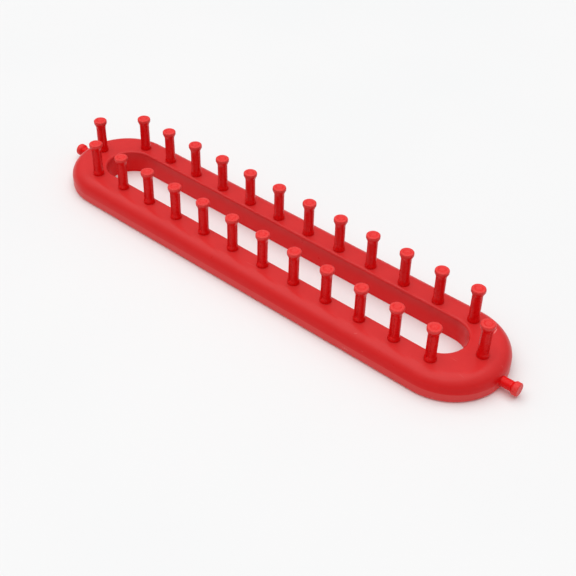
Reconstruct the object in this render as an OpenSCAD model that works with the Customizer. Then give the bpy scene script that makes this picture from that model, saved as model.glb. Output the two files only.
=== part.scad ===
// Long knitting loom: one moulded frame with a slot down its middle, two rows of
// upright pegs, one upright peg at each end, and one anchor peg in each end wall.
// Each peg is a moulding of its own, pushed into a keyed socket in the frame.
// The frame stands on z = 0, with its middle over the origin and its length along X.

/* [Peg layout] */
// Number of pegs in each long row
pegs_per_row = 12; // [4:1:12]
// Distance from one peg to the next along a row
peg_pitch = 17; // [12:0.5:22]
// Distance between the two rows, centre to centre
row_gap = 30; // [24:0.5:50]
// How far an end peg stands beyond the last peg of the rows, along X
end_peg_gap = 13.8; // [10:0.5:20]

/* [Frame] */
// Height of the frame
frame_h = 11; // [9.5:0.5:16]
// From the centre line of a row out to the outside face
rail_outer = 9.7; // [7:0.1:14]
// From the centre line of a row in to the slot face
rail_inner = 3.9; // [3.6:0.1:8]
// From the centre of an end peg out to the end face
end_outer = 9.9; // [8.5:0.1:16]
// From the centre of an end peg in to the end of the slot
end_inner = 8.1; // [5:0.1:12]
// Thickness of the side walls, which are open below
wall_t = 2; // [1.6:0.1:2.6]
// Thickness of the deck that the pegs stand on
deck_t = 2.6; // [2:0.1:3.4]
// Radius of the soft shoulder round the outside of the deck
shoulder_r = 5.7; // [2.8:0.1:7]
// Radius of the edge round the top of the slot
slot_edge_r = 1; // [0.4:0.1:1.1]
// Radius of the edge round the outside of the frame's foot
rim_r = 1.5; // [0.2:0.1:1.7]

/* [Pegs] */
// Height of a peg above the deck
peg_h = 16.4; // [12:0.1:24]
// Diameter of the shaft that holds the yarn
shaft_d = 4.4; // [4:0.1:4.7]
// Diameter of the head
head_d = 6; // [5.4:0.1:7]
// Height of the round band at the top of the head
head_band_h = 1.5; // [1.2:0.1:2.5]
// Height of the cone under the head
head_cone_h = 2.2; // [1:0.1:3.5]
// Radius of the edge round the head
head_edge_r = 0.6; // [0.3:0.1:0.6]
// Diameter of the shallow dish in the top of the head
dish_d = 3.8; // [2:0.1:4]
// Depth of that dish
dish_depth = 0.25; // [0.1:0.05:0.4]
// Diameter of the foot that seats on the deck
foot_d = 5.1; // [5:0.1:5.4]
// Height of the straight band of the foot
foot_band_h = 0.6; // [0.4:0.1:1.2]
// Height of the taper from the foot to the shaft
foot_cone_h = 2; // [1:0.1:3]
// Width of the groove that lets the hook under the yarn
groove_w = 1.7; // [1:0.1:2]

/* [Sockets] */
// Diameter of the spigot under each peg
spigot_d = 3.4; // [3:0.1:4.2]
// Length of that spigot
spigot_l = 7; // [4:0.1:7.5]
// Depth of the flat that keys the spigot
key_depth = 0.5; // [0.3:0.1:0.8]
// Clearance between a spigot and its socket, all round
fit_clearance = 0.04; // [0.02:0.01:0.08]
// Wall of the tube round each socket
boss_wall = 1.6; // [1.2:0.1:1.8]
// How far the socket tubes stop above the rim
boss_rise = 1.2; // [0.5:0.1:2]
// Thickness of the webs that tie the tubes to the walls
web_t = 1.4; // [1:0.1:2]
// How far the webs stop above the rim
web_rise = 3; // [2:0.1:4]

/* [Anchor pegs] */
// Height of an anchor peg's axis above the table
anchor_z = 4; // [3.7:0.1:5]
// How far an anchor peg stands out of the end face
anchor_reach = 7.8; // [6.8:0.1:14]
// Diameter of the shaft of an anchor peg
anchor_shaft_d = 4.3; // [3.8:0.1:4.6]
// Diameter of the head of an anchor peg
anchor_head_d = 5.7; // [5:0.1:6.4]
// Length of the round band of that head
anchor_band_l = 2.3; // [1.5:0.1:3.5]
// Length of the cone behind that head
anchor_cone_l = 0.9; // [0.5:0.1:2]
// Diameter of the spigot of an anchor peg
anchor_spigot_d = 3; // [2.6:0.1:3.2]
// Length of that spigot inside the wall
anchor_spigot_l = 4.8; // [3:0.1:6]
// Depth of the seat in the end wall that takes the shaft
seat_depth = 0.6; // [0.4:0.1:0.9]
// Clearance round the shaft in that seat
seat_clearance = 0.1; // [0.05:0.05:0.2]

/* [Hidden] */
$fn = 64;
cut = 1;

// Two rows, and one peg at each end
peg_count = 2 * pegs_per_row + 2;
row_half = (pegs_per_row - 1) * peg_pitch / 2;
row_y = row_gap / 2;
end_peg_x = row_half + end_peg_gap;

// Outside of the frame and outline of the slot: straight rails with round ends
outer_r = row_y + rail_outer;
outer_half = end_peg_x + end_outer - outer_r;
slot_r = row_y - rail_inner;
slot_half = end_peg_x - end_inner - slot_r;
end_x = outer_half + outer_r;

// The shoulder stops before the feet of the pegs, and the foot keeps a flat ring to stand on
shoulder = min(shoulder_r, min(rail_outer, end_outer) - foot_d / 2);
rim = min(rim_r, wall_t - 0.3);

deck_under = frame_h - deck_t;
cavity_r = outer_r - wall_t;
cavity_edge_r = max(shoulder - wall_t, 0.5);

shaft_r = shaft_d / 2;
head_r = head_d / 2;
foot_r = foot_d / 2;
groove_r = groove_w / 2;
groove_bottom = foot_band_h + foot_cone_h / 2;
groove_top = peg_h - head_band_h - head_cone_h / 2;
boss_r = spigot_d / 2 + fit_clearance + boss_wall;
socket_bottom = boss_rise - cut;

anchor_boss_r = anchor_spigot_d / 2 + fit_clearance + boss_wall;
anchor_seat_x = end_x - seat_depth;
anchor_socket_l = anchor_spigot_l + 0.3;
anchor_shaft_l = anchor_reach + seat_depth;

function pad2(i) = i < 10 ? str("0", i) : str(i);
function peg_name(i) = str("peg_", pad2(i));

// Pegs are numbered round the loom: front row, right end, back row, left end
function peg_x(i) =
    i <= pegs_per_row ? -row_half + (i - 1) * peg_pitch :
    i == pegs_per_row + 1 ? end_peg_x :
    i < peg_count ? row_half - (i - pegs_per_row - 2) * peg_pitch :
    -end_peg_x;
function peg_y(i) =
    i <= pegs_per_row ? -row_y :
    i == pegs_per_row + 1 || i == peg_count ? 0 :
    row_y;
// Direction from a peg out to the nearest outside face
function peg_turn(i) =
    i <= pegs_per_row ? -90 :
    i == pegs_per_row + 1 ? 0 :
    i < peg_count ? 90 :
    180;
function is_end_peg(i) = i == pegs_per_row + 1 || i == peg_count;

// Sweeps a half section round an oval: along both straight rails, then round both ends
module around_oval(half_length) {
    rotate([90, 0, 90])
        linear_extrude(height = 2 * half_length, center = true)
            union() {
                children();
                mirror([1, 0, 0]) children();
            }
    translate([half_length, 0, 0])
        rotate([0, 0, -90])
            rotate_extrude(angle = 180) children();
    translate([-half_length, 0, 0])
        rotate([0, 0, 90])
            rotate_extrude(angle = 180) children();
}

// Half section of a block with a round top edge and a round bottom edge
module block_section(radius, bottom, top, top_r, bottom_r) {
    translate([0, bottom + bottom_r])
        square([radius, top - top_r - bottom - bottom_r]);
    translate([0, bottom])
        square([radius - bottom_r, bottom_r]);
    translate([0, top - top_r])
        square([radius - top_r, top_r]);
    translate([radius - top_r, top - top_r])
        circle(r = top_r);
    translate([radius - bottom_r, bottom + bottom_r])
        circle(r = bottom_r);
}

// Half section of the slot, flared at the top by a rounded edge
module slot_section() {
    translate([0, -cut])
        square([slot_r, frame_h + 2 * cut]);
    difference() {
        translate([slot_r, frame_h - slot_edge_r])
            square([slot_edge_r, slot_edge_r + cut]);
        translate([slot_r + slot_edge_r, frame_h - slot_edge_r])
            circle(r = slot_edge_r);
    }
}

// The space under the deck, between the outside wall and the slot wall
module cavity() {
    difference() {
        around_oval(outer_half)
            block_section(cavity_r, -cut, deck_under, cavity_edge_r, 0.2);
        around_oval(slot_half)
            translate([0, -2 * cut])
                square([slot_r + wall_t, frame_h + 4 * cut]);
    }
}

// Tube under the deck for one upright peg, with its web to both walls
module socket_tube(i) {
    inner = is_end_peg(i) ? end_inner : rail_inner;
    outer = is_end_peg(i) ? end_outer : rail_outer;
    translate([peg_x(i), peg_y(i), 0])
        rotate([0, 0, peg_turn(i)]) {
            translate([0, 0, boss_rise])
                cylinder(r = boss_r, h = frame_h - deck_t / 2 - boss_rise);
            translate([-inner, -web_t / 2, web_rise])
                cube([inner + outer, web_t, frame_h - deck_t / 2 - web_rise]);
        }
}

// Round spigot with one flat, standing on z = 0 and pointing up
module keyed_rod(radius, flat, length) {
    difference() {
        cylinder(r = radius, h = length);
        translate([-radius - flat, -radius - cut, -cut])
            cube([radius, 2 * radius + 2 * cut, length + 2 * cut]);
    }
}

// Hole through the deck and the tube for one upright peg
module peg_socket(i) {
    translate([peg_x(i), peg_y(i), socket_bottom])
        rotate([0, 0, peg_turn(i)])
            keyed_rod(
                spigot_d / 2 + fit_clearance,
                spigot_d / 2 - key_depth + fit_clearance,
                frame_h + cut - socket_bottom
            );
}

// Tube inside the right end wall for an anchor peg
module anchor_tube() {
    translate([anchor_seat_x - anchor_socket_l, 0, anchor_z])
        rotate([0, 90, 0])
            cylinder(r = anchor_boss_r, h = anchor_socket_l);
}

// Seat and hole in the right end wall for an anchor peg
module anchor_socket() {
    translate([anchor_seat_x - anchor_socket_l, 0, anchor_z])
        rotate([0, 90, 0])
            cylinder(r = anchor_spigot_d / 2 + fit_clearance, h = anchor_socket_l + cut);
    translate([anchor_seat_x, 0, anchor_z])
        rotate([0, 90, 0])
            cylinder(r = anchor_shaft_d / 2 + seat_clearance, h = seat_depth + cut);
}

module frame() {
    color("#d93a38")
        difference() {
            union() {
                difference() {
                    around_oval(outer_half)
                        block_section(outer_r, 0, frame_h, shoulder, rim);
                    cavity();
                }
                intersection() {
                    around_oval(outer_half)
                        block_section(
                            outer_r - wall_t / 2, 0, frame_h - deck_t / 3, shoulder, rim
                        );
                    union() {
                        for (i = [1:peg_count]) socket_tube(i);
                        anchor_tube();
                        rotate([0, 0, 180]) anchor_tube();
                    }
                }
            }
            around_oval(slot_half) slot_section();
            for (i = [1:peg_count]) peg_socket(i);
            anchor_socket();
            rotate([0, 0, 180]) anchor_socket();
        }
}

// Half outline of an upright peg above the deck
module peg_section() {
    cone_base = peg_h - head_band_h - head_cone_h;
    difference() {
        union() {
            polygon([
                [0, 0],
                [foot_r, 0],
                [foot_r, foot_band_h],
                [shaft_r, foot_band_h + foot_cone_h],
                [shaft_r, cone_base],
                [head_r, peg_h - head_band_h],
                [head_r, peg_h - head_edge_r],
                [head_r - head_edge_r, peg_h],
                [0, peg_h]
            ]);
            translate([head_r - head_edge_r, peg_h - head_edge_r])
                circle(r = head_edge_r);
        }
        polygon([
            [0, peg_h + cut],
            [dish_d / 2, peg_h + cut],
            [dish_d / 2, peg_h],
            [dish_d / 2 - dish_depth, peg_h - dish_depth],
            [0, peg_h - dish_depth]
        ]);
    }
}

// One upright peg, its groove facing out and its flat facing in
module peg(i) {
    translate([peg_x(i), peg_y(i), frame_h])
        rotate([0, 0, peg_turn(i)])
            color("#c8161c") {
                difference() {
                    rotate_extrude() peg_section();
                    translate([shaft_r, 0, groove_bottom])
                        cylinder(r = groove_r, h = groove_top - groove_bottom);
                }
                translate([0, 0, -spigot_l])
                    keyed_rod(spigot_d / 2, spigot_d / 2 - key_depth, spigot_l);
            }
}

// Half outline of an anchor peg, from its spigot end to its head
module anchor_section() {
    seat = anchor_spigot_l;
    tip = anchor_spigot_l + anchor_shaft_l;
    polygon([
        [0, 0],
        [anchor_spigot_d / 2, 0],
        [anchor_spigot_d / 2, seat],
        [anchor_shaft_d / 2, seat],
        [anchor_shaft_d / 2, tip - anchor_band_l - anchor_cone_l],
        [anchor_head_d / 2, tip - anchor_band_l],
        [anchor_head_d / 2, tip - head_edge_r],
        [anchor_head_d / 2 - head_edge_r, tip],
        [0, tip]
    ]);
    translate([anchor_head_d / 2 - head_edge_r, tip - head_edge_r])
        circle(r = head_edge_r);
}

// The anchor peg of the right end, lying along X
module anchor_peg() {
    translate([anchor_seat_x - anchor_spigot_l, 0, anchor_z])
        rotate([0, 90, 0])
            rotate_extrude() anchor_section();
}

module anchor_peg_right() {
    color("#c8161c") anchor_peg();
}

module anchor_peg_left() {
    color("#c8161c") rotate([0, 0, 180]) anchor_peg();
}

frame();
for (i = [1:peg_count])
    peg(i);
anchor_peg_left();
anchor_peg_right();
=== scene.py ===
# %% [markdown]
# # A long knitting loom in red plastic
# The loom is one long oval moulding with a slot down its middle. Twenty-six pegs stand on it, and
# one more lies flat in each end wall to anchor the yarn. Every peg is a moulding of its own, pushed
# into a socket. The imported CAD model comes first, because it says where every piece sits and how
# far it may move. Everything made below is finer skin over those same pieces.

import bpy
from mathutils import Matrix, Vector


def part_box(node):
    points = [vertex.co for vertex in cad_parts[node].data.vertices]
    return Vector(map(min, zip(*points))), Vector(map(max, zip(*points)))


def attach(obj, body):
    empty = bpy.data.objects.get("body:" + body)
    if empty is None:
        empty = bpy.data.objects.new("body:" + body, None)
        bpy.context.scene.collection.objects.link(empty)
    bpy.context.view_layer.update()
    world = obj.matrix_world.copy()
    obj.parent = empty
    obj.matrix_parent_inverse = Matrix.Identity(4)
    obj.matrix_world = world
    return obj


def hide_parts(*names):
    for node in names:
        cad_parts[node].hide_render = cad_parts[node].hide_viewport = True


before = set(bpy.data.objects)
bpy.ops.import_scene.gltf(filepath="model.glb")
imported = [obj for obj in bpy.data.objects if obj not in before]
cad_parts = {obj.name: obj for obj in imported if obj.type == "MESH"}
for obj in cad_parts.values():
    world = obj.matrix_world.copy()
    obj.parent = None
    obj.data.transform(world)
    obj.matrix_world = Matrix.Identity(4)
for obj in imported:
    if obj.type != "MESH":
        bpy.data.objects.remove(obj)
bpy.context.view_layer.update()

# %% Tools used throughout
import math

import bpy
from mathutils import Matrix, Quaternion, Vector

MM = 0.001  # Blender works in metres, and every size below is written in millimetres


# %% [markdown]
# ## Where everything is
# A model stays honest when its sizes come from one place. The box of each CAD node gives the loom's
# outside and each peg's centre, so nothing has to be typed twice. An upright peg turns its groove to
# the nearest outside face, and that direction follows from where the peg stands: the two end pegs
# stand on the long axis, and all others in a row beside it.

# %% Read the places of the pegs
def node_middle(name):
    """Middle of a CAD node's box, in millimetres."""
    low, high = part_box(name)
    return (low + high) / 2 / MM


upright_names = sorted(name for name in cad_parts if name.startswith("peg_"))
peg_spots = {name: node_middle(name).xy for name in upright_names}
row_y = max(spot.y for spot in peg_spots.values())
end_peg_x = max(spot.x for spot in peg_spots.values())


def outward_turn(spot):
    """Angle about Z, in radians, from +X to the direction in which a peg's groove faces."""
    if abs(spot.y) < row_y / 2:
        return 0.0 if spot.x > 0 else math.pi
    return math.copysign(math.pi / 2, spot.y)


print(len(upright_names), "upright pegs")
print("rows at y =", round(row_y, 2), "and end pegs at x =", round(end_peg_x, 2))

# %% Sizes of the frame moulding
frame_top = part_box("frame")[1] / MM
FRAME_H = frame_top.z
OUTER_R = frame_top.y
OUTER_HALF = frame_top.x - OUTER_R
RAIL_INNER = 3.9  # from a row of pegs in to the slot
END_INNER = 8.1  # from an end peg in to the slot
SLOT_R = row_y - RAIL_INNER
SLOT_HALF = end_peg_x - END_INNER - SLOT_R
WALL = 2.0
DECK_UNDER = FRAME_H - 2.6
SHOULDER_R = 5.7
SLOT_EDGE_R = 1.0
RIM_R = 1.5
print("outside, mm:", round(2 * (OUTER_HALF + OUTER_R), 1), "x", round(2 * OUTER_R, 1))
print("slot, mm:", round(2 * (SLOT_HALF + SLOT_R), 1), "x", round(2 * SLOT_R, 1))

# %% [markdown]
# ## The camera
# The camera stands to the front and right of the loom, looks down at it, and is rolled by a degree
# and a half. Aiming it with an azimuth, an elevation and a distance reads better than a matrix, and
# the roll is then one extra turn about the line of sight.

# %% Place the camera
CAMERA_AIM = Vector((28.3, -21.7, 13.65)) * MM
CAMERA_DISTANCE = 424.3 * MM
CAMERA_AZIMUTH = math.radians(39.69)
CAMERA_ELEVATION = math.radians(39.75)
CAMERA_ROLL = math.radians(1.54)
CAMERA_LENS = 65.73

line_of_sight = Vector((
    math.sin(CAMERA_AZIMUTH) * math.cos(CAMERA_ELEVATION),
    -math.cos(CAMERA_AZIMUTH) * math.cos(CAMERA_ELEVATION),
    math.sin(CAMERA_ELEVATION),
))
camera = bpy.data.objects.new("camera", bpy.data.cameras.new("camera"))
camera.data.lens = CAMERA_LENS
camera.data.sensor_width = 36
camera.rotation_mode = "QUATERNION"
camera.location = CAMERA_AIM + CAMERA_DISTANCE * line_of_sight
camera.rotation_quaternion = line_of_sight.to_track_quat("Z", "Y") @ Quaternion((0, 0, 1), CAMERA_ROLL)
bpy.context.scene.collection.objects.link(camera)
bpy.context.scene.camera = camera
print("camera at, mm:", [round(c / MM, 1) for c in camera.location])


# %% [markdown]
# ## Meshes from points
# All pieces here are swept or turned, so their points can be worked out row by row. A small helper
# turns points and faces into a piece, shades it smooth, and keeps an edge crisp wherever two faces
# meet at more than a set angle. That is how a moulded part looks: soft over its radii and crisp at
# its corners.

# %% A helper that makes one piece
CRISP_ANGLE = math.radians(32)


def finish_surface(mesh):
    """Smooth shading, with crisp edges where faces meet steeply."""
    mesh.shade_smooth()
    mesh.set_sharp_from_angle(angle=CRISP_ANGLE)


def new_piece(name, points, faces):
    """A new mesh object from points in millimetres."""
    mesh = bpy.data.meshes.new(name)
    mesh.from_pydata([Vector(p) * MM for p in points], [], faces)
    mesh.update()
    piece = bpy.data.objects.new(name, mesh)
    bpy.context.scene.collection.objects.link(piece)
    return piece


def arc(middle, radius, start, end, steps):
    """Points (across, up) along an arc, angles in degrees, both ends included."""
    turns = [math.radians(start + (end - start) * k / steps) for k in range(steps + 1)]
    return [(middle[0] + radius * math.cos(a), middle[1] + radius * math.sin(a)) for a in turns]


# %% [markdown]
# ## The frame's shell
# The frame is a deck on two walls, open below, and bent round into an oval. Its cross-section has
# the same shape all the way, but the outside and the slot have different straight lengths. So each
# section point hangs from one of two guide ovals, and the sweep moves both guides along together.
# A sweep gives clean rows of faces that follow the round shoulder, which no box with a bevel would.

# %% Section of the frame, as distances in from the outside oval and out from the slot oval
INNER_EDGE_R = 0.2
CAVITY_R = SHOULDER_R - WALL
HOLD = 0.25  # a narrow flat strip beside each radius keeps the deck's shading flat


def outside_half_section():
    """From the inner foot of the outside wall, round the rim, up the wall and over the shoulder."""
    inner_foot = arc((WALL - INNER_EDGE_R, INNER_EDGE_R), INNER_EDGE_R, 0, -90, 3)
    rim = arc((RIM_R, RIM_R), RIM_R, 270, 180, 8)
    shoulder = arc((SHOULDER_R, FRAME_H - SHOULDER_R), SHOULDER_R, 180, 90, 16)
    return inner_foot + rim + shoulder + [(SHOULDER_R + HOLD, FRAME_H)]


def slot_half_section():
    """From the deck over the slot's edge, down the slot wall and round its foot."""
    edge = arc((SLOT_EDGE_R, FRAME_H - SLOT_EDGE_R), SLOT_EDGE_R, 90, 180, 7)
    foot = arc((INNER_EDGE_R, INNER_EDGE_R), INNER_EDGE_R, 180, 270, 3)
    inner_foot = arc((WALL - INNER_EDGE_R, INNER_EDGE_R), INNER_EDGE_R, 270, 360, 3)
    return [(SLOT_EDGE_R + HOLD, FRAME_H)] + edge + foot + inner_foot + [(WALL, DECK_UNDER)]


def ceiling_section():
    """The round inside corner under the shoulder."""
    return arc((WALL + CAVITY_R, DECK_UNDER - CAVITY_R), CAVITY_R, 90, 180, 6)


section = [("outside", *p) for p in outside_half_section()]
section += [("slot", *p) for p in slot_half_section()]
section += [("outside", *p) for p in ceiling_section()]
print("section points:", len(section))

# %% Sweep the section round the oval
STRAIGHT_STEPS = 12
END_STEPS = 56


def oval_stations():
    """Each station is (share along the straight, from -1 to 1, and angle of the end's arc)."""
    front = [(-1 + 2 * k / STRAIGHT_STEPS, -90) for k in range(STRAIGHT_STEPS)]
    right = [(1, -90 + 180 * k / END_STEPS) for k in range(END_STEPS)]
    back = [(1 - 2 * k / STRAIGHT_STEPS, 90) for k in range(STRAIGHT_STEPS)]
    left = [(-1, 90 + 180 * k / END_STEPS) for k in range(END_STEPS)]
    return front + right + back + left


def section_point(guide, across, up, share, angle):
    """Place of one section point at one station."""
    if guide == "outside":
        half, radius = OUTER_HALF, OUTER_R - across
    else:
        half, radius = SLOT_HALF, SLOT_R + across
    turn = math.radians(angle)
    return (share * half + radius * math.cos(turn), radius * math.sin(turn), up)


def sweep_frame():
    """The closed shell of the frame."""
    stations = oval_stations()
    count = len(section)
    points = [
        section_point(guide, across, up, share, angle)
        for share, angle in stations
        for guide, across, up in section
    ]
    faces = []
    for s in range(len(stations)):
        here, there = s * count, (s + 1) % len(stations) * count
        for k in range(count):
            n = (k + 1) % count
            faces.append((here + k, there + k, there + n, here + n))
    return new_piece("loom_frame", points, faces)


loom_frame = sweep_frame()
print("shell faces:", len(loom_frame.data.polygons))

# %% [markdown]
# ## Tubes, webs and bores
# Below the deck each peg has a tube to stand in, and a web ties that tube to both walls. They are
# simple solids that run into each other, so Boolean modifiers do the joining: first a union of the
# tubes and webs with the shell, and then a difference that drills every socket. The Manifold solver
# keeps the result closed, and the modifiers are applied at once, so that only plain mesh is left.

# %% Simple solids to join and to cut with
ROUND_STEPS = 48


def rod(name, rings, outline, place):
    """A solid through scaled copies of an outline: rings are (height, growth in mm)."""
    points = []
    for height, growth in rings:
        for x, y in outline:
            reach = math.hypot(x, y)
            points.append(((reach + growth) / reach * x, (reach + growth) / reach * y, height))
    n = len(outline)
    faces = [tuple(reversed(range(n))), tuple(range((len(rings) - 1) * n, len(rings) * n))]
    for r in range(len(rings) - 1):
        low, high = r * n, (r + 1) * n
        faces += [(low + k, low + (k + 1) % n, high + (k + 1) % n, high + k) for k in range(n)]
    solid = new_piece(name, points, faces)
    solid.matrix_world = place
    return solid


def circle(radius):
    """Outline of a circle."""
    turns = [2 * math.pi * k / ROUND_STEPS for k in range(ROUND_STEPS)]
    return [(radius * math.cos(a), radius * math.sin(a)) for a in turns]


def keyed_circle(radius, flat):
    """Outline of a circle with one flat, which faces -X."""
    return [(max(x, -flat), y) for x, y in circle(radius)]


def combine(piece, solids, operation):
    """Joins solids to a piece or cuts them from it, for good."""
    group = bpy.data.collections.new(operation)
    for solid in solids:
        group.objects.link(solid)
    change = piece.modifiers.new(operation, "BOOLEAN")
    change.operation = operation
    change.operand_type = "COLLECTION"
    change.collection = group
    change.solver = "MANIFOLD"
    bpy.context.view_layer.update()
    shaped = piece.evaluated_get(bpy.context.evaluated_depsgraph_get())
    made = bpy.data.meshes.new_from_object(shaped)
    piece.modifiers.clear()
    piece.data = made
    for solid in solids:
        bpy.data.objects.remove(solid)
    bpy.data.collections.remove(group)


# %% Tubes and webs under the deck
SPIGOT_R = 1.7
KEY_FLAT = 1.2
FIT = 0.04
TUBE_WALL = 1.6
TUBE_R = SPIGOT_R + FIT + TUBE_WALL
TUBE_FOOT = 1.2
TUBE_EDGE = 0.25  # the softened lower edge of a tube
INTO_DECK = 1.0  # how far a tube runs up into the deck
WEB_T = 1.4
WEB_FOOT = 3.0
WEB_INTO_DECK = 0.2
INTO_WALL = 0.3  # solids that join the shell end inside it, clear of its visible faces


def peg_place(name):
    """Matrix that puts +Z on a peg's axis and +X on its outward direction, with z = 0 on the table."""
    spot = peg_spots[name]
    place = Matrix.Translation((spot.x * MM, spot.y * MM, 0))
    return place @ Matrix.Rotation(outward_turn(spot), 4, "Z")


def peg_tube(name):
    """The tube that holds one upright peg, with a softened lower edge."""
    rings = [(TUBE_FOOT, -TUBE_EDGE), (TUBE_FOOT + TUBE_EDGE, 0), (DECK_UNDER + INTO_DECK, 0)]
    return rod("tube", rings, circle(TUBE_R), peg_place(name))


def peg_web(name):
    """The flat web from a tube to both walls."""
    is_end = abs(peg_spots[name].y) < row_y / 2
    to_slot = END_INNER if is_end else RAIL_INNER
    to_outside = OUTER_HALF + OUTER_R - end_peg_x if is_end else OUTER_R - row_y
    inner = to_slot - INTO_WALL
    outer = to_outside - WALL + INTO_WALL
    outline = [(-inner, -WEB_T / 2), (outer, -WEB_T / 2), (outer, WEB_T / 2), (-inner, WEB_T / 2)]
    return rod("web", [(WEB_FOOT, 0), (DECK_UNDER + WEB_INTO_DECK, 0)], outline, peg_place(name))


# %% The lying tube behind each anchor peg
ANCHOR_Z = node_middle("anchor_peg_right").z
SEAT_DEPTH = 0.6
ANCHOR_SPIGOT_R = 1.5
ANCHOR_SHAFT_R = 2.15
ANCHOR_BORE = 5.1
SEAT_CLEARANCE = 0.1
seat_x = frame_top.x - SEAT_DEPTH


def anchor_place(side):
    """Matrix that puts +Z on an anchor peg's axis, pointing out of the loom, with z = 0 at its seat."""
    place = Matrix.Translation((side * seat_x * MM, 0, ANCHOR_Z * MM))
    return place @ Matrix.Rotation(side * math.pi / 2, 4, "Y")


def anchor_tube(side):
    """The tube inside an end wall."""
    rings = [(-ANCHOR_BORE, -TUBE_EDGE), (-ANCHOR_BORE + TUBE_EDGE, 0), (-INTO_WALL, 0)]
    return rod("anchor_tube", rings, circle(ANCHOR_SPIGOT_R + FIT + TUBE_WALL), anchor_place(side))


under_parts = [make(name) for make in (peg_tube, peg_web) for name in upright_names]
under_parts += [anchor_tube(side) for side in (-1, 1)]
combine(loom_frame, under_parts, "UNION")
print("faces with tubes and webs:", len(loom_frame.data.polygons))

# %% Drill the sockets
LEAD_IN = 0.25
PAST = 1.0  # cutters run past the faces they cut


def peg_bore(name):
    """Keyed bore through the deck and the tube, opened a little at both mouths."""
    rings = [
        (TUBE_FOOT - PAST, PAST + LEAD_IN),
        (TUBE_FOOT + LEAD_IN, 0),
        (FRAME_H - LEAD_IN, 0),
        (FRAME_H + PAST, PAST + LEAD_IN),
    ]
    return rod("bore", rings, keyed_circle(SPIGOT_R + FIT, KEY_FLAT + FIT), peg_place(name))


def anchor_bore(side):
    """Round bore through an end wall and its tube."""
    rings = [(-ANCHOR_BORE - LEAD_IN, 0), (PAST, 0)]
    return rod("anchor_bore", rings, circle(ANCHOR_SPIGOT_R + FIT), anchor_place(side))


def anchor_seat(side):
    """Round seat in an end wall for the shaft of an anchor peg."""
    outline = circle(ANCHOR_SHAFT_R + SEAT_CLEARANCE)
    return rod("anchor_seat", [(0, 0), (2 * PAST, 0)], outline, anchor_place(side))


bores = [peg_bore(name) for name in upright_names]
bores += [make(side) for make in (anchor_bore, anchor_seat) for side in (-1, 1)]
combine(loom_frame, bores, "DIFFERENCE")
finish_surface(loom_frame.data)
print("faces of the finished frame:", len(loom_frame.data.polygons))

# %% [markdown]
# ## The upright pegs
# A peg is turned about its own axis: a spigot below the deck, a foot that seats on it, a slim shaft
# and a wider head that keeps the yarn on. A groove runs up the outside of the shaft, so that the
# hook can slip under a stitch. A turned mesh with the groove pressed in is better here than a
# Boolean cut, because the groove can fade out softly at both ends, as it does on the real moulding.

# %% A turned mesh with a shape that may change round the axis
def turned_piece(name, outline, angles, reach):
    """Turns (radius, height, wear) points about Z. reach() gives the true radius at an angle."""
    n = len(angles)
    rows = outline[1:-1]
    points = [(0, 0, outline[0][1])]
    wear_and_sheen = [outline[0][2]]
    for radius, height, rub in rows:
        for a in angles:
            true_radius = reach(radius, height, a)
            points.append((true_radius * math.cos(a), true_radius * math.sin(a), height))
            wear_and_sheen.append(rub)
    points.append((0, 0, outline[-1][1]))
    wear_and_sheen.append(outline[-1][2])
    top = len(points) - 1
    last = top - n
    faces = [(0, 1 + (k + 1) % n, 1 + k) for k in range(n)]
    for r in range(len(rows) - 1):
        low, high = 1 + r * n, 1 + (r + 1) * n
        faces += [(low + k, low + (k + 1) % n, high + (k + 1) % n, high + k) for k in range(n)]
    faces += [(last + k, last + (k + 1) % n, top) for k in range(n)]
    piece = new_piece(name, points, faces)
    rubbed = piece.data.attributes.new("wear_and_sheen", "FLOAT", "POINT")
    rubbed.data.foreach_set("value", wear_and_sheen)
    finish_surface(piece.data)
    return piece


# %% Sizes of an upright peg
PEG_H = (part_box("peg_01")[1].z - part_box("frame")[1].z) / MM
HEAD_R = (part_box("peg_01")[1].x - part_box("peg_01")[0].x) / 2 / MM
SPIGOT_L = FRAME_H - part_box("peg_01")[0].z / MM
SHAFT_R = 2.2
FOOT_R = 2.55
FOOT_BAND = 0.6
FOOT_FLARE = 2.0
HEAD_BAND = 1.5
HEAD_FLARE = 2.2
HEAD_EDGE_R = 0.6
DISH_R = 1.9
DISH_DEPTH = 0.2
print("peg height", round(PEG_H, 2), "head", round(2 * HEAD_R, 2), "spigot", round(SPIGOT_L, 2))


# %% Outline of an upright peg
def foot_outline():
    """Spigot, foot and flare. The last number is how much each ring gets rubbed in use."""
    tip = [(0, -SPIGOT_L, 0), (SPIGOT_R - 0.3, -SPIGOT_L, 0.2), (SPIGOT_R, -SPIGOT_L + 0.4, 0.3)]
    seat = [(SPIGOT_R, -0.05, 0), (FOOT_R - 0.12, 0, 0), (FOOT_R, 0.12, 0.2), (FOOT_R, FOOT_BAND, 0.2)]
    flare = []
    for k in range(1, 8):
        t = k / 7
        still_wide = (1 - t) ** 2 * (1 + 2 * t)
        flare.append((SHAFT_R + (FOOT_R - SHAFT_R) * still_wide, FOOT_BAND + FOOT_FLARE * t, 0.1))
    return tip + seat + flare


def head_outline():
    """Flare, band, rounded edge and dished top of the head."""
    flare_foot = PEG_H - HEAD_BAND - HEAD_FLARE
    flare = []
    for k in range(9):
        t = k / 8
        flare.append((SHAFT_R + (HEAD_R - SHAFT_R) * t ** 1.4, flare_foot + HEAD_FLARE * t, 0.3 * t))
    edge_middle = (HEAD_R - HEAD_EDGE_R, PEG_H - HEAD_EDGE_R)
    edge = [(r, z, 1.0) for r, z in arc(edge_middle, HEAD_EDGE_R, 0, 90, 6)]
    # The last numbers on the edge and the dish also make the top of the head paler: a painted sheen.
    dish = [(DISH_R, PEG_H, 0.9), (DISH_R - 0.25, PEG_H - 0.8 * DISH_DEPTH, 0.4)]
    dish += [(0.5 * DISH_R, PEG_H - DISH_DEPTH, 0.6), (0, PEG_H - DISH_DEPTH, 0.6)]
    return flare + edge + dish


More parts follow.
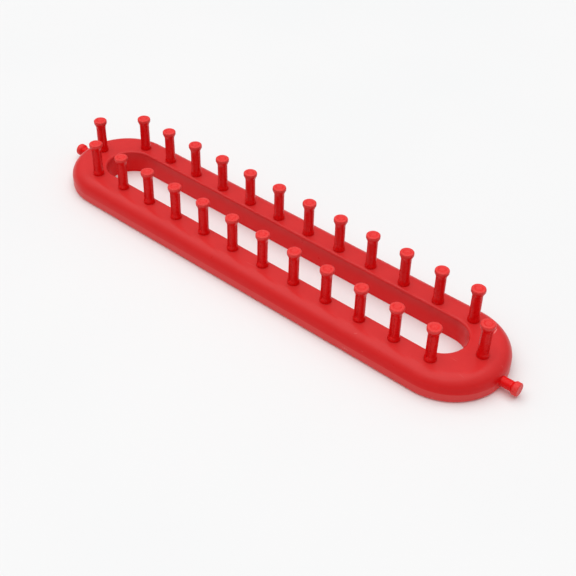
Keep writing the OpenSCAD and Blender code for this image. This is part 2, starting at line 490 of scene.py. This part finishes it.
def shaft_outline():
    """Rings along the plain shaft, which carry the groove."""
    low = FOOT_BAND + FOOT_FLARE
    high = PEG_H - HEAD_BAND - HEAD_FLARE
    return [(SHAFT_R, low + (high - low) * k / 4, 0.15) for k in range(1, 4)]


peg_outline = foot_outline() + shaft_outline() + head_outline()
print("rings in a peg:", len(peg_outline))

# %% The groove and the keyed flat
GROOVE_R = 0.85
GROOVE_HALF = 2 * math.asin(GROOVE_R / (2 * SHAFT_R))  # half the angle that the groove takes up
GROOVE_DEPTH = 0.85
GROOVE_FOOT = 1.2
GROOVE_TOP = 14.2
GROOVE_FADE = 1.3


def fade(height):
    """How much of the groove's depth is cut at a height: 0 at its ends, 1 along the shaft."""
    inside = min(height - GROOVE_FOOT, GROOVE_TOP - height) / GROOVE_FADE
    share = min(max(inside, 0), 1)
    return share * share * (3 - 2 * share)


def peg_reach(radius, height, angle):
    """Radius of a peg with its groove towards +X and the flat of its spigot towards -X."""
    if height < 0 and math.cos(angle) < 0:
        return min(radius, KEY_FLAT / -math.cos(angle))
    across = math.remainder(angle, 2 * math.pi) / GROOVE_HALF
    if abs(across) >= 1 or height <= 0:
        return radius
    floor = SHAFT_R - GROOVE_DEPTH * math.sqrt(1 - across ** 2)
    return radius - fade(height) * max(radius - floor, 0)


def peg_angles():
    """Angles round a peg: close together across the groove, and even elsewhere."""
    groove = [GROOVE_HALF * math.sin(math.pi / 2 * k / 5) for k in range(-5, 6)]
    beside = GROOVE_HALF + math.radians(1.5)
    steps = 50
    return groove + [beside + (2 * math.pi - 2 * beside) * k / steps for k in range(steps + 1)]


first_peg = turned_piece("peg_pattern", peg_outline, peg_angles(), peg_reach)
peg_mesh = first_peg.data
bpy.data.objects.remove(first_peg)
print("faces in a peg:", len(peg_mesh.polygons))

# %% [markdown]
# ## The anchor pegs
# The two anchor pegs lie flat in the end walls and hold the tail of the yarn. They are turned like
# the others, but have a short round head and no groove, so the same helper makes them.

# %% Turn the anchor peg
ANCHOR_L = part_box("anchor_peg_right")[1].x / MM - seat_x
ANCHOR_HEAD_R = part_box("anchor_peg_right")[1].y / MM
ANCHOR_SPIGOT_L = 4.8
ANCHOR_BAND = 2.3
ANCHOR_FLARE = 0.9
ANCHOR_EDGE_R = 0.6


def anchor_outline():
    """Spigot, shaft, flare, band and rounded end of an anchor peg."""
    spigot = [(0, -ANCHOR_SPIGOT_L, 0), (ANCHOR_SPIGOT_R - 0.3, -ANCHOR_SPIGOT_L, 0.2)]
    spigot += [(ANCHOR_SPIGOT_R, -ANCHOR_SPIGOT_L + 0.4, 0.3), (ANCHOR_SPIGOT_R, -0.02, 0)]
    band_foot = ANCHOR_L - ANCHOR_BAND
    shaft = [(ANCHOR_SHAFT_R, 0, 0), (ANCHOR_SHAFT_R, band_foot - ANCHOR_FLARE, 0.1)]
    flare = [(ANCHOR_HEAD_R - 0.1, band_foot - 0.1, 0.5), (ANCHOR_HEAD_R, band_foot + 0.1, 0.5)]
    end_r = ANCHOR_HEAD_R - ANCHOR_EDGE_R
    edge_middle = (end_r, ANCHOR_L - ANCHOR_EDGE_R)
    edge = [(r, z, 1.0) for r, z in arc(edge_middle, ANCHOR_EDGE_R, 0, 90, 6)]
    sunk_end = [(0.6 * end_r, ANCHOR_L - 0.03, 0.3), (0, ANCHOR_L - 0.05, 0.2)]
    return spigot + shaft + flare + edge + sunk_end


def plain_reach(radius, height, angle):
    """A round piece keeps its radius all round."""
    return radius


even_angles = [2 * math.pi * k / ROUND_STEPS for k in range(ROUND_STEPS)]
first_anchor = turned_piece("anchor_pattern", anchor_outline(), even_angles, plain_reach)
anchor_mesh = first_anchor.data
bpy.data.objects.remove(first_anchor)
print("anchor peg length outside its seat:", round(ANCHOR_L, 2))


# %% [markdown]
# ## Building a finish from nodes
# A moulded surface is never one flat colour. Each finish below is a Principled shader whose colour,
# roughness and bump come from small procedural patterns, measured on the piece itself. These short
# helpers each add one node and hand back its output, so that a finish reads like a recipe.

# %% Helpers that add one shader node each
class Recipe:
    """A material with its node tree, and one short method for each kind of node."""

    def __init__(self, name):
        self.material = bpy.data.materials.new(name)
        self.material.use_nodes = True
        self.tree = self.material.node_tree
        self.shader = self.tree.nodes["Principled BSDF"]
        self.place = self.tree.nodes.new("ShaderNodeTexCoord").outputs["Object"]

    def feed(self, socket, value):
        """Links an output to a socket, or sets a plain number or colour on it."""
        if isinstance(value, bpy.types.NodeSocket):
            self.tree.links.new(value, socket)
        else:
            socket.default_value = value

    def maths(self, operation, first, second=0.0, clamp=False):
        """One sum. Either side may be a number or an output."""
        node = self.tree.nodes.new("ShaderNodeMath")
        node.operation = operation
        node.use_clamp = clamp
        self.feed(node.inputs[0], first)
        self.feed(node.inputs[1], second)
        return node.outputs[0]

    def ramp(self, value, low, high, to_low=0.0, to_high=1.0):
        """Maps low..high to to_low..to_high with soft ends."""
        node = self.tree.nodes.new("ShaderNodeMapRange")
        node.interpolation_type = "SMOOTHSTEP"
        for socket, number in zip(node.inputs[:5], (value, low, high, to_low, to_high)):
            self.feed(socket, number)
        return node.outputs[0]

    def noise(self, scale, detail=2.0, roughness=0.5, place=None):
        """Cloudy pattern. scale is in waves per metre."""
        node = self.tree.nodes.new("ShaderNodeTexNoise")
        self.feed(node.inputs["Vector"], place or self.place)
        self.feed(node.inputs["Scale"], scale)
        self.feed(node.inputs["Detail"], detail)
        self.feed(node.inputs["Roughness"], roughness)
        return node.outputs["Fac"]

    def stretched(self, amounts, shift=(0, 0, 0), turn=(0, 0, 0)):
        """Coordinates scaled along X, Y and Z, so that a pattern turns into streaks."""
        node = self.tree.nodes.new("ShaderNodeMapping")
        self.feed(node.inputs["Vector"], self.place)
        node.inputs["Scale"].default_value = amounts
        node.inputs["Location"].default_value = shift
        node.inputs["Rotation"].default_value = turn
        return node.outputs[0]

    def blend(self, share, first, second):
        """Mixes two colours."""
        node = self.tree.nodes.new("ShaderNodeMix")
        node.data_type = "RGBA"
        self.feed(node.inputs["Factor"], share)
        self.feed(node.inputs["A"], first)
        self.feed(node.inputs["B"], second)
        return node.outputs["Result"]

    def bump(self, height, depth, below=None):
        """A relief of that depth in metres, laid over the relief below it."""
        node = self.tree.nodes.new("ShaderNodeBump")
        node.inputs["Strength"].default_value = 1.0
        node.inputs["Distance"].default_value = depth
        self.feed(node.inputs["Height"], height)
        if below is not None:
            self.feed(node.inputs["Normal"], below)
        return node.outputs[0]


print("node helpers ready")

# %% [markdown]
# ## The frame's plastic
# The frame is moulded from a bright red plastic with a satin skin. Its colour drifts a little along
# the flow of the melt. The walls get a deeper, more saturated red than the deck: the deck's paler
# red is a painted sheen of the light overhead, which the walls' red leaves out. Handling leaves pale
# scuffs along the foot of the outside wall, the slot's edge gets polished, and a few fine scratches
# lie on the deck. The lowest 4.4 mm of the outside wall also gets a pale band of painted bounce
# light, for light reflected up from the white table. Where such a mark belongs follows from the
# loom's shape, so the recipe measures how far each spot is from the outside face and from the slot,
# with the same ovals as the sweep. A few single pale spots are listed one by one, each inside its
# own small ellipsoid: nicks on the deck and the outside wall, and one brighter spot on the deck
# beside the right end peg.

# %% Distances on the frame, for placing wear
def from_spine(recipe, half):
    """Distance of a spot from the loom's middle line, which is 2 * half long, in metres."""
    split = recipe.tree.nodes.new("ShaderNodeSeparateXYZ")
    recipe.feed(split.inputs[0], recipe.place)
    along = recipe.maths("ABSOLUTE", split.outputs["X"])
    past_end = recipe.maths("MAXIMUM", recipe.maths("SUBTRACT", along, half * MM), 0.0)
    across = recipe.maths("POWER", recipe.maths("ABSOLUTE", split.outputs["Y"]), 2.0)
    squared = recipe.maths("ADD", recipe.maths("POWER", past_end, 2.0), across)
    return recipe.maths("SQRT", squared), split.outputs["Z"]


def near(recipe, value, spot, reach):
    """1 where value is at spot and 0 a reach away from it."""
    away = recipe.maths("ABSOLUTE", recipe.maths("SUBTRACT", value, spot * MM))
    return recipe.ramp(away, 0.0, reach * MM, 1.0, 0.0)


def in_ellipsoid(recipe, spot, turn, half_size):
    """1 inside a small ellipsoid. spot and half_size are in millimetres, and turn is about Z."""
    node = recipe.tree.nodes.new("ShaderNodeMapping")
    node.vector_type = "TEXTURE"
    recipe.feed(node.inputs["Vector"], recipe.place)
    node.inputs["Location"].default_value = Vector(spot) * MM
    node.inputs["Rotation"].default_value = (0, 0, turn)
    node.inputs["Scale"].default_value = Vector(half_size) * MM
    length = recipe.tree.nodes.new("ShaderNodeVectorMath")
    length.operation = "LENGTH"
    recipe.feed(length.inputs[0], node.outputs[0])
    return recipe.ramp(length.outputs["Value"], 0.6, 1.0, 1.0, 0.0)


# %% Mix the frame's plastic
PALE_SPOTS = (
    # The first spot is a bright pale streak on the deck beside the right end peg; it is weighted twice
    # and not broken up by noise. The others are nicks.
    ((103.6, 15.2, FRAME_H), 1.75, (2.1, 0.3, 0.6)),
    ((63.2, -21.9, FRAME_H - 0.6), 0.2, (1.1, 0.4, 0.7)),
    ((68.8, -OUTER_R, 6.3), 0.0, (0.6, 0.8, 0.5)),
    ((89.6, -OUTER_R, 3.2), 0.0, (2.4, 1.0, 0.5)),
    ((60.7, -OUTER_R, 2.6), 0.0, (3.2, 1.0, 0.7)),
    ((-61.0, 21.6, FRAME_H - 0.6), 1.1, (1.6, 0.3, 0.7)),
)
# FRAME_RED and FRAME_RED_DEEP are the deck's reds, paler with a painted sheen of the light overhead;
# FRAME_RED_SIDE is the walls' deeper red without that sheen.
FRAME_RED = (0.650, 0.0275, 0.0275, 1)
FRAME_RED_DEEP = (0.615, 0.0235, 0.0240, 1)
FRAME_RED_SIDE = (0.690, 0.0030, 0.0038, 1)
FRAME_PALE = (0.80, 0.20, 0.19, 1)


def frame_plastic():
    """Satin red plastic with flow marks, scuffs and scratches, a painted sheen on the deck and a
    painted band of table bounce low on the outside wall.
    """
    recipe = Recipe("satin_red_frame_plastic")
    outside, height = from_spine(recipe, OUTER_HALF)
    slotside, _ = from_spine(recipe, SLOT_HALF)
    drift = recipe.ramp(recipe.noise(70, 3.0, 0.55), 0.3, 0.7)
    cloud = recipe.ramp(recipe.noise(420, 2.0, 0.6), 0.3, 0.7)
    drift_part = recipe.maths("MULTIPLY", drift, 0.7)
    tone = recipe.maths("ADD", drift_part, recipe.maths("MULTIPLY", cloud, 0.3))
    colour = recipe.blend(tone, FRAME_RED_DEEP, FRAME_RED)
    # Painted sheen and shade: upright faces blend to the deeper side red, while the deck keeps its
    # paler red.
    on_side = recipe.ramp(height, (FRAME_H - 6.0) * MM, (FRAME_H - 0.6) * MM, 1.0, 0.0)
    colour = recipe.blend(on_side, colour, FRAME_RED_SIDE)

    on_wall = recipe.ramp(outside, (OUTER_R - 0.9) * MM, (OUTER_R - 0.2) * MM)
    low = recipe.ramp(height, 0.4 * MM, 3.2 * MM, 1.0, 0.0)
    patchy = recipe.ramp(recipe.noise(55, 3.0, 0.7), 0.52, 0.66)
    grazed = recipe.ramp(recipe.noise(900, 3.0, 0.7), 0.5, 0.7)
    along_foot = recipe.maths("MULTIPLY", on_wall, low)
    foot_scuff = recipe.maths("MULTIPLY", along_foot, recipe.maths("MULTIPLY", patchy, grazed))

    streaks = recipe.noise(1.0, 1.0, 0.4, recipe.stretched((90, 1900, 400), turn=(0, 0, 0.5)))
    elsewhere = recipe.stretched((1, 1, 1), shift=(0.3, 0, 0))
    sparse = recipe.ramp(recipe.noise(45, 2.0, 0.5, elsewhere), 0.56, 0.66)
    scratch = recipe.maths("MULTIPLY", recipe.ramp(streaks, 0.74, 0.8), sparse)

    slot_edge = near(recipe, slotside, SLOT_R + 0.3, 0.9)
    near_deck = recipe.ramp(height, (FRAME_H - 1.6) * MM, (FRAME_H - 0.4) * MM)
    rubbed = recipe.maths("MULTIPLY", slot_edge, near_deck)

    pale_spots = recipe.maths("MULTIPLY", in_ellipsoid(recipe, *PALE_SPOTS[0]), 2.0)
    for spot, turn, half_size in PALE_SPOTS[1:]:
        grazed_spot = recipe.maths("MULTIPLY", in_ellipsoid(recipe, spot, turn, half_size), grazed)
        pale_spots = recipe.maths("ADD", pale_spots, grazed_spot)

    foot_part = recipe.maths("MULTIPLY", foot_scuff, 0.75)
    pale_marks_and_bounce = recipe.maths("ADD", foot_part, recipe.maths("MULTIPLY", scratch, 0.35))
    pale_marks_and_bounce = recipe.maths("ADD", pale_marks_and_bounce, recipe.maths("MULTIPLY", pale_spots, 0.45))
    pale_marks_and_bounce = recipe.maths("ADD", pale_marks_and_bounce, recipe.maths("MULTIPLY", rubbed, 0.02))
    # Painted bounce light: a pale band on the lowest 4.4 mm of the outside wall, for light reflected up
    # from the white table.
    painted_table_bounce = recipe.maths("MULTIPLY", on_wall, recipe.ramp(height, 4.1 * MM, 4.7 * MM, 0.23, 0.0))
    # From here on the pale marks also carry that painted bounce band.
    pale_marks_and_bounce = recipe.maths("ADD", pale_marks_and_bounce, painted_table_bounce, clamp=True)
    recipe.feed(recipe.shader.inputs["Base Color"], recipe.blend(pale_marks_and_bounce, colour, FRAME_PALE))

    gloss = recipe.ramp(recipe.noise(160, 4.0, 0.6), 0.25, 0.75, 0.27, 0.37)
    gloss = recipe.maths("ADD", gloss, recipe.maths("MULTIPLY", pale_marks_and_bounce, 0.3))
    gloss = recipe.maths("SUBTRACT", gloss, recipe.maths("MULTIPLY", rubbed, 0.12), clamp=True)
    recipe.feed(recipe.shader.inputs["Roughness"], gloss)

    swell = recipe.bump(recipe.noise(65, 2.0, 0.5), 0.012 * MM)
    grain = recipe.bump(recipe.noise(3200, 2.0, 0.6), 0.004 * MM, swell)
    cuts = recipe.bump(recipe.maths("SUBTRACT", 1.0, scratch), 0.02 * MM, grain)
    recipe.feed(recipe.shader.inputs["Normal"], cuts)
    recipe.shader.inputs["IOR"].default_value = 1.49
    recipe.shader.inputs["Specular IOR Level"].default_value = 0.18
    return recipe.material


loom_frame.data.materials.clear()
loom_frame.data.materials.append(frame_plastic())
print("frame plastic on", loom_frame.name)

# %% [markdown]
# ## The pegs' plastic
# The pegs come from another mould and another batch: a deeper red with more gloss. The mesh carries
# a "wear_and_sheen" value from 0 to 1 that is high on the rim of the head, where yarn and hook slide,
# and the recipe breaks it up with noise so that no two spots look alike. The same value paints the
# top of each head paler than its shaft, as a painted sheen of the light overhead. Each peg also has a
# "batch" number of its own, which shifts the patterns and the tone a little from peg to peg.

# %% Mix the pegs' plastic
PEG_RED = (0.75, 0.0040, 0.0048, 1)
PEG_RED_DEEP = (0.69, 0.0026, 0.0034, 1)
PEG_PALE = (0.80, 0.11, 0.10, 1)


def own_value(recipe, kind, name):
    """A value that the mesh or the object itself carries."""
    node = recipe.tree.nodes.new("ShaderNodeAttribute")
    node.attribute_type = kind
    node.attribute_name = name
    return node.outputs["Fac"]


def shifted_place(recipe, batch):
    """The piece's own coordinates, moved by its batch number."""
    node = recipe.tree.nodes.new("ShaderNodeVectorMath")
    node.operation = "ADD"
    recipe.feed(node.inputs[0], recipe.place)
    recipe.feed(node.inputs[1], batch)
    return node.outputs[0]


def peg_plastic():
    """Glossy deep red plastic with draw marks, a rubbed rim, a painted sheen on each head's top and a
    tone for each peg.
    """
    recipe = Recipe("glossy_red_peg_plastic")
    batch = own_value(recipe, "OBJECT", "batch")
    wear_and_sheen = own_value(recipe, "GEOMETRY", "wear_and_sheen")
    recipe.place = shifted_place(recipe, batch)
    cloud = recipe.ramp(recipe.noise(260, 3.0, 0.6), 0.3, 0.7)
    own_tone = recipe.maths("FRACT", recipe.maths("MULTIPLY", batch, 7.31))
    cloud_part = recipe.maths("MULTIPLY", cloud, 0.6)
    tone = recipe.maths("ADD", cloud_part, recipe.maths("MULTIPLY", own_tone, 0.4))
    colour = recipe.blend(tone, PEG_RED_DEEP, PEG_RED)

    broken = recipe.ramp(recipe.noise(1400, 4.0, 0.65), 0.42, 0.68)
    rubbed = recipe.maths("MULTIPLY", recipe.maths("POWER", wear_and_sheen, 1.5), broken)
    # Painted sheen: the top of each head is painted paler, for the light overhead that it reflects.
    painted_head_sheen = recipe.ramp(wear_and_sheen, 0.3, 0.6, 0.0, 0.3)
    pale = recipe.maths("ADD", recipe.maths("MULTIPLY", rubbed, 0.3), painted_head_sheen)
    recipe.feed(recipe.shader.inputs["Base Color"], recipe.blend(pale, colour, PEG_PALE))

    gloss = recipe.ramp(recipe.noise(700, 3.0, 0.6), 0.25, 0.75, 0.24, 0.34)
    gloss = recipe.maths("ADD", gloss, recipe.maths("MULTIPLY", rubbed, 0.22))
    recipe.feed(recipe.shader.inputs["Roughness"], gloss)

    draw_marks = recipe.noise(1.0, 2.0, 0.5, recipe.stretched((2600, 2600, 120)))
    lines = recipe.bump(draw_marks, 0.0003 * MM)
    grain = recipe.bump(recipe.noise(4200, 2.0, 0.6), 0.0003 * MM, lines)
    recipe.feed(recipe.shader.inputs["Normal"], grain)
    recipe.shader.inputs["IOR"].default_value = 1.49
    recipe.shader.inputs["Specular IOR Level"].default_value = 0.17
    return recipe.material


red_peg_plastic = peg_plastic()
for mesh in (peg_mesh, anchor_mesh):
    mesh.materials.append(red_peg_plastic)
print("peg plastic on both kinds of peg")

# %% [markdown]
# ## Putting the loom together
# Every piece now rides on its own CAD body and stands in for its own CAD node. The pegs of one kind
# share one mesh, and a matrix puts each in its socket, just as identical mouldings drop into
# identical holes.

# %% Seat every piece on its body
def seat_piece(piece, node):
    """Ties a finished piece to the CAD node that it stands for."""
    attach(piece, node)
    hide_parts(node)


def place_peg(name, mesh, node, place, batch):
    """One peg, in its socket."""
    peg = bpy.data.objects.new(name, mesh)
    bpy.context.scene.collection.objects.link(peg)
    peg.matrix_world = place
    peg["batch"] = batch
    seat_piece(peg, node)


seat_piece(loom_frame, "frame")
on_deck = Matrix.Translation((0, 0, FRAME_H * MM))
for number, name in enumerate(upright_names, start=1):
    place_peg("upright_" + name, peg_mesh, name, on_deck @ peg_place(name), 0.37 * number)
for number, (side, node) in enumerate([(-1, "anchor_peg_left"), (1, "anchor_peg_right")], start=30):
    place_peg("lying_" + node, anchor_mesh, node, anchor_place(side), 0.37 * number)

# %% [markdown]
# ## Table and light
# The loom lies on a plain white table under soft studio light from above. The surround is bright
# overhead and dim at the horizon, so that upright faces stay deeper in colour than the deck. One very
# wide sun lamp overhead makes the soft contact shadow that ties the loom to the table. The table is
# a single large sheet. It's open when seen from behind, and it lets the lamps through, so that a
# weak second lamp can light the hollow underside when the loom is looked at from below.

# %% Lay the table
TABLE_HALF = 30000
TABLE_DROP = 0.02
TABLE_WHITE = (0.80, 0.80, 0.80, 1)
TABLE_WHITE_COOL = (0.785, 0.79, 0.792, 1)


def table_finish():
    """Matt white, open to the lamps and when seen from below."""
    recipe = Recipe("white_table")
    tone = recipe.ramp(recipe.noise(6, 2.0, 0.5), 0.3, 0.7)
    white = recipe.blend(tone, TABLE_WHITE_COOL, TABLE_WHITE)
    recipe.feed(recipe.shader.inputs["Base Color"], white)
    recipe.shader.inputs["Roughness"].default_value = 0.8
    recipe.shader.inputs["Specular IOR Level"].default_value = 0.1
    nodes = recipe.tree.nodes
    open_side = nodes.new("ShaderNodeBsdfTransparent")
    pick = nodes.new("ShaderNodeMixShader")
    from_below = nodes.new("ShaderNodeNewGeometry").outputs["Backfacing"]
    for_lamps = nodes.new("ShaderNodeLightPath").outputs["Is Shadow Ray"]
    recipe.feed(pick.inputs[0], recipe.maths("MAXIMUM", from_below, for_lamps))
    recipe.feed(pick.inputs[1], recipe.shader.outputs[0])
    recipe.feed(pick.inputs[2], open_side.outputs[0])
    recipe.feed(nodes["Material Output"].inputs["Surface"], pick.outputs[0])
    return recipe.material


corners = [(-1, -1), (1, -1), (1, 1), (-1, 1)]
table_points = [(x * TABLE_HALF, y * TABLE_HALF, -TABLE_DROP) for x, y in corners]
table = new_piece("table", table_points, [(0, 1, 2, 3)])
table.data.materials.append(table_finish())
print("table laid")

# %% Light the scene
HORIZON_LIGHT = 0.08
TOP_LIGHT = 0.80
BACKDROP = 0.93
SUN_STRENGTH = 2.0
SUN_ANGLE = math.radians(80)
SUN_FROM = Vector((-0.13, -0.05, 1.0))
UNDERSIDE_STRENGTH = 0.8
UNDERSIDE_ANGLE = math.radians(10)
UNDERSIDE_FROM = Vector((0.1, -0.1, -1.0))

world = bpy.data.worlds.new("white_surround")
world.use_nodes = True
tree = world.node_tree
split = tree.nodes.new("ShaderNodeSeparateXYZ")
rise = tree.nodes.new("ShaderNodeMapRange")
rise.inputs["To Min"].default_value = HORIZON_LIGHT
rise.inputs["To Max"].default_value = TOP_LIGHT
tree.links.new(tree.nodes.new("ShaderNodeTexCoord").outputs["Generated"], split.inputs[0])
tree.links.new(split.outputs["Z"], rise.inputs["Value"])
tree.nodes["Background"].inputs["Color"].default_value = (1, 1, 1, 1)
seen = tree.nodes.new("ShaderNodeMix")  # looked at directly, the surround is an even pale backdrop
seen.inputs["B"].default_value = BACKDROP
tree.links.new(tree.nodes.new("ShaderNodeLightPath").outputs["Is Camera Ray"], seen.inputs["Factor"])
tree.links.new(rise.outputs[0], seen.inputs["A"])
tree.links.new(seen.outputs["Result"], tree.nodes["Background"].inputs["Strength"])
bpy.context.scene.world = world


def hang_sun(name, strength, angle, comes_from):
    """A sun lamp whose light comes from a direction."""
    sun = bpy.data.objects.new(name, bpy.data.lights.new(name, "SUN"))
    sun.data.energy = strength
    sun.data.angle = angle
    sun.rotation_mode = "QUATERNION"
    sun.rotation_quaternion = comes_from.to_track_quat("Z", "Y")
    bpy.context.scene.collection.objects.link(sun)
    return sun


hang_sun("soft_sun", SUN_STRENGTH, SUN_ANGLE, SUN_FROM)
underside_lamp = hang_sun("underside_lamp", UNDERSIDE_STRENGTH, UNDERSIDE_ANGLE, UNDERSIDE_FROM)
underside_lamp.visible_glossy = False  # it would leave a bright speck under every head

bpy.context.scene.view_settings.view_transform = "Standard"
print("light set")
